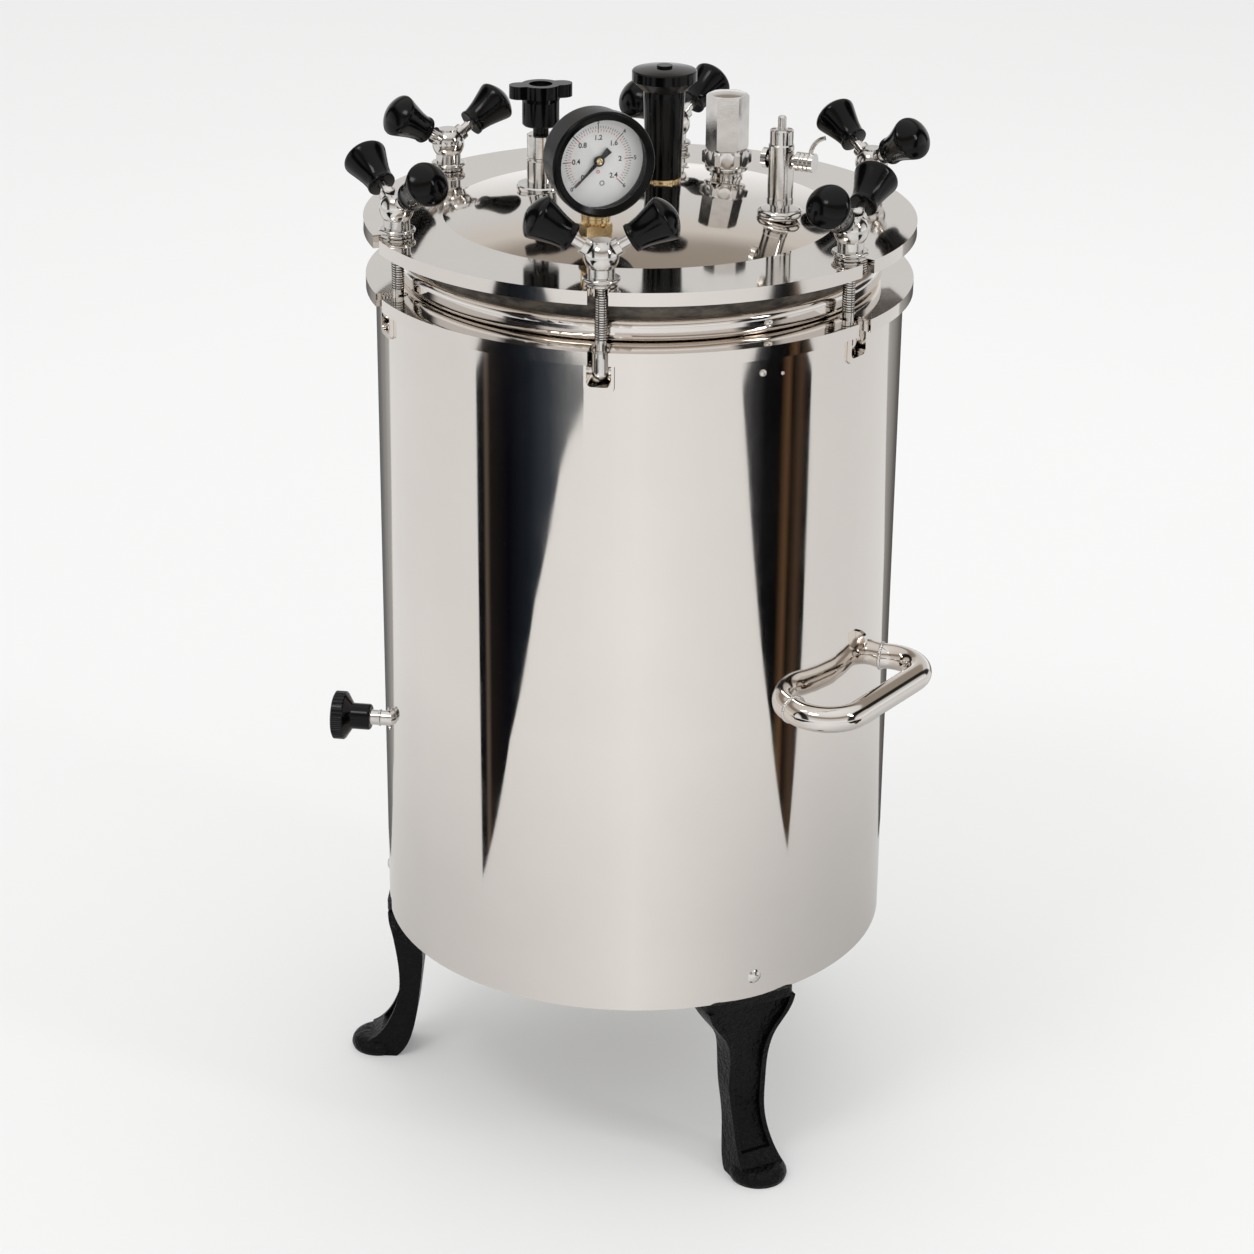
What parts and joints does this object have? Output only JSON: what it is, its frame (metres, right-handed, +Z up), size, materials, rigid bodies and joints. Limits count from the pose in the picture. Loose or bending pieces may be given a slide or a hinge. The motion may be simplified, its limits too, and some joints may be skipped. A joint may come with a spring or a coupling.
{
  "type": "vertical autoclave",
  "caption": "Floor-standing polished steel autoclave on cast legs, with a flat-rimmed domed lid held by swing bolts with wing nuts, pressure gauge, valves, drain valve and bow handles.",
  "frame": {"origin": "middle of the object's box at floor level", "axes": "+Z up along the vessel's axis, -Y towards the front, where the gauge faces, +X to the right seen from the front"},
  "size_m": [0.4718, 0.4506, 0.8375],
  "materials": {
    "polished_steel": "mirror polished stainless sheet",
    "turned_steel": "turned and polished",
    "plain_steel": "satin",
    "cast_black": "sand cast, painted black",
    "black_plastic": "gloss moulded",
    "brass": "machined",
    "black_enamel": "semi-gloss",
    "dial_white": "printed",
    "clear_glass": "clear",
    "gasket_rubber": "moulded"
  },
  "bodies": {
    "vessel": {"outer_jacket": "polished_steel", "base_plate": "plain_steel", "support_ring": "polished_steel", "hinge_pockets": "polished_steel", "pivot_pins": "turned_steel", "pressure_chamber": "plain_steel", "chamber_rim": "polished_steel", "lid_gasket": "gasket_rubber", "lid": "polished_steel", "leg_front": "cast_black", "leg_back": "cast_black", "leg_left": "cast_black", "leg_brackets": "cast_black", "leg_screws": "turned_steel", "handle_right": "polished_steel", "handle_left": "polished_steel", "drain_stub": "turned_steel", "gauge_union": "brass", "gauge_case": "black_enamel", "gauge_bezel": "black_enamel", "gauge_dial": "dial_white", "gauge_glass": "clear_glass", "safety_valve_base": "brass", "safety_valve_body": "black_plastic", "safety_valve_cap": "black_plastic", "relief_valve_nipple": "turned_steel", "relief_valve_body": "turned_steel", "petcock_foot": "turned_steel", "petcock_barrel": "turned_steel", "vent_body": "turned_steel"},
    "vent_knob": {"vent_knob": "black_plastic"},
    "drain_knob": {"drain_knob": "black_plastic"},
    "petcock_lever": {"petcock_lever": "turned_steel"},
    "gauge_needle": {"gauge_needle": "black_enamel"},
    "bolt_1": {"swing_bolt_1": "turned_steel"},
    "washer_1": {"washer_1": "turned_steel"},
    "nut_1": {"wing_nut_1": "turned_steel", "wing_knobs_1": "black_plastic"},
    "bolt_2": {"swing_bolt_2": "turned_steel"},
    "washer_2": {"washer_2": "turned_steel"},
    "nut_2": {"wing_nut_2": "turned_steel", "wing_knobs_2": "black_plastic"},
    "bolt_3": {"swing_bolt_3": "turned_steel"},
    "washer_3": {"washer_3": "turned_steel"},
    "nut_3": {"wing_nut_3": "turned_steel", "wing_knobs_3": "black_plastic"},
    "bolt_4": {"swing_bolt_4": "turned_steel"},
    "washer_4": {"washer_4": "turned_steel"},
    "nut_4": {"wing_nut_4": "turned_steel", "wing_knobs_4": "black_plastic"},
    "bolt_5": {"swing_bolt_5": "turned_steel"},
    "washer_5": {"washer_5": "turned_steel"},
    "nut_5": {"wing_nut_5": "turned_steel", "wing_knobs_5": "black_plastic"},
    "bolt_6": {"swing_bolt_6": "turned_steel"},
    "washer_6": {"washer_6": "turned_steel"},
    "nut_6": {"wing_nut_6": "turned_steel", "wing_knobs_6": "black_plastic"}
  },
  "joints": [
    {"name": "bolt_swing_1", "type": "hinge", "parent": "vessel", "child": "bolt_1", "pos_m": [-0.02062, -0.20408, 0.67], "axis": [0.9903, -0.1392, 0], "range_deg": [0, 100]},
    {"name": "washer_back_off_1", "type": "slide", "parent": "bolt_1", "child": "washer_1", "axis": [0, 0, 1], "range_m": [0, 0.0195]},
    {"name": "nut_turn_1", "type": "hinge", "parent": "washer_1", "child": "nut_1", "pos_m": [-0.02062, -0.20408, 0.738], "axis": [0, 0, 1], "continuous": true},
    {"name": "bolt_swing_2", "type": "hinge", "parent": "vessel", "child": "bolt_2", "pos_m": [0.15879, -0.13159, 0.67], "axis": [0.6157, 0.788, 0], "range_deg": [0, 100]},
    {"name": "washer_back_off_2", "type": "slide", "parent": "bolt_2", "child": "washer_2", "axis": [0, 0, 1], "range_m": [0, 0.0195]},
    {"name": "nut_turn_2", "type": "hinge", "parent": "washer_2", "child": "nut_2", "pos_m": [0.15879, -0.13159, 0.738], "axis": [0, 0, 1], "continuous": true},
    {"name": "bolt_swing_3", "type": "hinge", "parent": "vessel", "child": "bolt_3", "pos_m": [0.18572, 0.06002, 0.67], "axis": [-0.3746, 0.9272, 0], "range_deg": [0, 100]},
    {"name": "washer_back_off_3", "type": "slide", "parent": "bolt_3", "child": "washer_3", "axis": [0, 0, 1], "range_m": [0, 0.0195]},
    {"name": "nut_turn_3", "type": "hinge", "parent": "washer_3", "child": "nut_3", "pos_m": [0.18572, 0.06002, 0.738], "axis": [0, 0, 1], "continuous": true},
    {"name": "bolt_swing_4", "type": "hinge", "parent": "vessel", "child": "bolt_4", "pos_m": [0.03324, 0.17915, 0.67], "axis": [-0.9903, 0.1392, 0], "range_deg": [0, 100]},
    {"name": "washer_back_off_4", "type": "slide", "parent": "bolt_4", "child": "washer_4", "axis": [0, 0, 1], "range_m": [0, 0.0195]},
    {"name": "nut_turn_4", "type": "hinge", "parent": "washer_4", "child": "nut_4", "pos_m": [0.03324, 0.17915, 0.738], "axis": [0, 0, 1], "continuous": true},
    {"name": "bolt_swing_5", "type": "hinge", "parent": "vessel", "child": "bolt_5", "pos_m": [-0.14617, 0.10667, 0.67], "axis": [-0.6157, -0.788, 0], "range_deg": [0, 100]},
    {"name": "washer_back_off_5", "type": "slide", "parent": "bolt_5", "child": "washer_5", "axis": [0, 0, 1], "range_m": [0, 0.0195]},
    {"name": "nut_turn_5", "type": "hinge", "parent": "washer_5", "child": "nut_5", "pos_m": [-0.14617, 0.10667, 0.738], "axis": [0, 0, 1], "continuous": true},
    {"name": "bolt_swing_6", "type": "hinge", "parent": "vessel", "child": "bolt_6", "pos_m": [-0.1731, -0.08495, 0.67], "axis": [0.3746, -0.9272, 0], "range_deg": [0, 100]},
    {"name": "washer_back_off_6", "type": "slide", "parent": "bolt_6", "child": "washer_6", "axis": [0, 0, 1], "range_m": [0, 0.0195]},
    {"name": "nut_turn_6", "type": "hinge", "parent": "washer_6", "child": "nut_6", "pos_m": [-0.1731, -0.08495, 0.738], "axis": [0, 0, 1], "continuous": true},
    {"name": "vent_knob_turn", "type": "hinge", "parent": "vessel", "child": "vent_knob", "pos_m": [-0.07032, 0.02658, 0.793], "axis": [0, 0, 1], "range_deg": [0, 360]},
    {"name": "drain_knob_turn", "type": "hinge", "parent": "vessel", "child": "drain_knob", "pos_m": [-0.20911, -0.05845, 0.33], "axis": [-0.9903, 0.1392, 0], "range_deg": [0, 360]},
    {"name": "petcock_lever_turn", "type": "hinge", "parent": "vessel", "child": "petcock_lever", "pos_m": [0.11076, -0.0436, 0.783], "axis": [0.9063, -0.4226, 0], "range_deg": [0, 90]},
    {"name": "gauge_needle_turn", "type": "hinge", "parent": "vessel", "child": "gauge_needle", "pos_m": [-0.02625, -0.10702, 0.7985], "axis": [-0.342, 0.9397, 0], "range_deg": [0, 270]}
  ],
  "couplings": [
    {"joint": "washer_back_off_1", "follows": "bolt_swing_1", "m_per_rad": 0.011},
    {"joint": "washer_back_off_2", "follows": "bolt_swing_2", "m_per_rad": 0.011},
    {"joint": "washer_back_off_3", "follows": "bolt_swing_3", "m_per_rad": 0.011},
    {"joint": "washer_back_off_4", "follows": "bolt_swing_4", "m_per_rad": 0.011},
    {"joint": "washer_back_off_5", "follows": "bolt_swing_5", "m_per_rad": 0.011},
    {"joint": "washer_back_off_6", "follows": "bolt_swing_6", "m_per_rad": 0.011}
  ]
}
